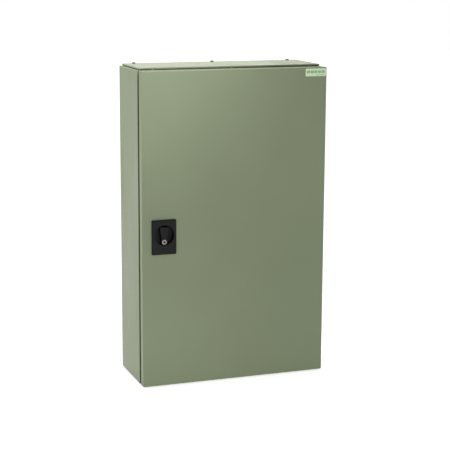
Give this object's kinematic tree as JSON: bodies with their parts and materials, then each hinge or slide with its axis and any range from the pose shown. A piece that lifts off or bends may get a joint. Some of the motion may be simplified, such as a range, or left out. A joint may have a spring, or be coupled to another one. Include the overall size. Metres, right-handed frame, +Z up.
{
  "type": "automatic transfer switch",
  "caption": "Wall-mounted steel enclosure with a hinged lockable door, holding a motor-driven changeover switch, its controller, control breakers, terminals and cable gland plate.",
  "frame": {"origin": "centre of the wall-bolt pattern, in the plane of the rear face that rests on the wall", "axes": "+X to the right seen from the front, -Y out of the door towards the user, +Z up"},
  "size_m": [0.4, 0.1655, 0.6567],
  "materials": {
    "paint_grey_green": "semi-gloss powder coat",
    "zinc_plate": "zinc-plated sheet",
    "steel_fasteners": "dark zinc fasteners",
    "steel_shaft": "ground steel",
    "black_lock": "fine texture",
    "lock_chrome": "satin chrome",
    "gasket_rubber": "matt foam",
    "label_face": "printed film",
    "pocket_plastic": "light grey",
    "moulding_black": "moulded thermoset",
    "copper_plated": "tinned copper",
    "barrier_red": "fibre sheet",
    "bronze": "sintered bronze",
    "pointer_red": "signal red",
    "motor_metal": "cast and turned",
    "drive_cover_grey": "light grey moulding",
    "device_white": "off-white moulding",
    "toggle_black": "black",
    "terminal_grey": "beige-grey",
    "earth_brass": "bright brass",
    "display_glass": "tinted window",
    "lamp_lens": "lamp lens",
    "button_green": "green cap",
    "button_red": "red cap",
    "duct_grey": "grey PVC",
    "wire_sheath": "PVC insulation"
  },
  "bodies": {
    "enclosure": {"enclosure_body": "paint_grey_green", "rear_panel": "paint_grey_green", "top_cover": "paint_grey_green", "mounting_plate": "zinc_plate", "mounting_plate_studs": "zinc_plate", "mounting_plate_nuts": "zinc_plate", "gland_plate": "zinc_plate", "drive_frame": "zinc_plate", "din_rail": "zinc_plate", "hinge_frame_leaves": "zinc_plate", "top_cover_screws": "steel_fasteners", "gland_plate_screws": "steel_fasteners", "housing_screws": "steel_fasteners", "terminal_bolts": "steel_fasteners", "earth_bar_screws": "steel_fasteners", "hinge_pins": "steel_fasteners", "top_cover_gasket": "gasket_rubber", "gland_plate_gasket": "gasket_rubber", "gland_blanking_plugs": "gasket_rubber", "pole_housing_rear": "moulding_black", "pole_housing_front": "moulding_black", "controller_case": "moulding_black", "controller_fascia": "moulding_black", "supply_1_contacts": "copper_plated", "supply_2_contacts": "copper_plated", "load_contacts": "copper_plated", "phase_barriers": "barrier_red", "shaft_bushes": "bronze", "gear_motor": "motor_metal", "drive_cover": "drive_cover_grey", "control_breakers": "device_white", "terminal_blocks": "terminal_grey", "earth_bar": "earth_brass", "display_window": "display_glass", "status_lamps": "lamp_lens", "wiring_ducts": "duct_grey", "control_wires": "wire_sheath"},
    "door": {"door_panel": "paint_grey_green", "door_gasket": "gasket_rubber", "door_stiffeners": "paint_grey_green", "document_pocket": "pocket_plastic", "name_plate": "label_face", "hinge_door_leaves": "zinc_plate", "lock_escutcheon": "black_lock", "lock_barrel_nut": "zinc_plate"},
    "lock_handle": {"wing_handle": "black_lock", "lock_cam": "zinc_plate", "lock_cam_nut": "zinc_plate"},
    "lock_key_barrel": {"key_cylinder": "lock_chrome"},
    "rotor": {"main_shaft": "steel_shaft", "rotor_hubs": "barrier_red", "moving_blades": "copper_plated", "shaft_gear": "steel_shaft", "position_pointer": "pointer_red"},
    "pinion": {"motor_pinion": "steel_shaft"},
    "toggle_1": {"supply_1_breaker_toggle": "toggle_black"},
    "toggle_2": {"supply_2_breaker_toggle": "toggle_black"},
    "transfer_push": {"transfer_button": "button_green"},
    "off_push": {"off_button": "button_red"},
    "selector": {"mode_selector_knob": "moulding_black"}
  },
  "joints": [
    {"name": "door_hinge", "type": "hinge", "parent": "enclosure", "child": "door", "pos_m": [0.1945, -0.1465, 0], "axis": [0, 0, 1], "range_deg": [0, 120]},
    {"name": "handle_turn", "type": "hinge", "parent": "door", "child": "lock_handle", "pos_m": [-0.1546, -0.145, -0.0064], "axis": [0, 1, 0], "range_deg": [0, 90]},
    {"name": "key_turn", "type": "hinge", "parent": "lock_handle", "child": "lock_key_barrel", "pos_m": [-0.1546, -0.161, -0.0206], "axis": [0, 1, 0], "range_deg": [0, 90]},
    {"name": "main_shaft_turn", "type": "hinge", "parent": "enclosure", "child": "rotor", "pos_m": [0, -0.062, 0.02], "axis": [1, 0, 0], "range_deg": [-45, 45]},
    {"name": "motor_pinion_turn", "type": "hinge", "parent": "enclosure", "child": "pinion", "pos_m": [0.064, -0.062, 0.05], "axis": [1, 0, 0], "range_deg": [-180, 180]},
    {"name": "supply_1_breaker_switch", "type": "hinge", "parent": "enclosure", "child": "toggle_1", "pos_m": [-0.084, -0.08, 0.205], "axis": [1, 0, 0], "range_deg": [0, 44]},
    {"name": "supply_2_breaker_switch", "type": "hinge", "parent": "enclosure", "child": "toggle_2", "pos_m": [-0.064, -0.08, 0.205], "axis": [1, 0, 0], "range_deg": [0, 44]},
    {"name": "transfer_button_press", "type": "slide", "parent": "enclosure", "child": "transfer_push", "axis": [0, 1, 0], "range_m": [0, 0.002], "stiffness_N_per_m": 400},
    {"name": "off_button_press", "type": "slide", "parent": "enclosure", "child": "off_push", "axis": [0, 1, 0], "range_m": [0, 0.002], "stiffness_N_per_m": 400},
    {"name": "mode_selector_turn", "type": "hinge", "parent": "enclosure", "child": "selector", "pos_m": [0.048, -0.084, -0.165], "axis": [0, 1, 0], "range_deg": [-45, 45]}
  ],
  "couplings": [
    {"joint": "motor_pinion_turn", "follows": "main_shaft_turn", "ratio": -4}
  ]
}
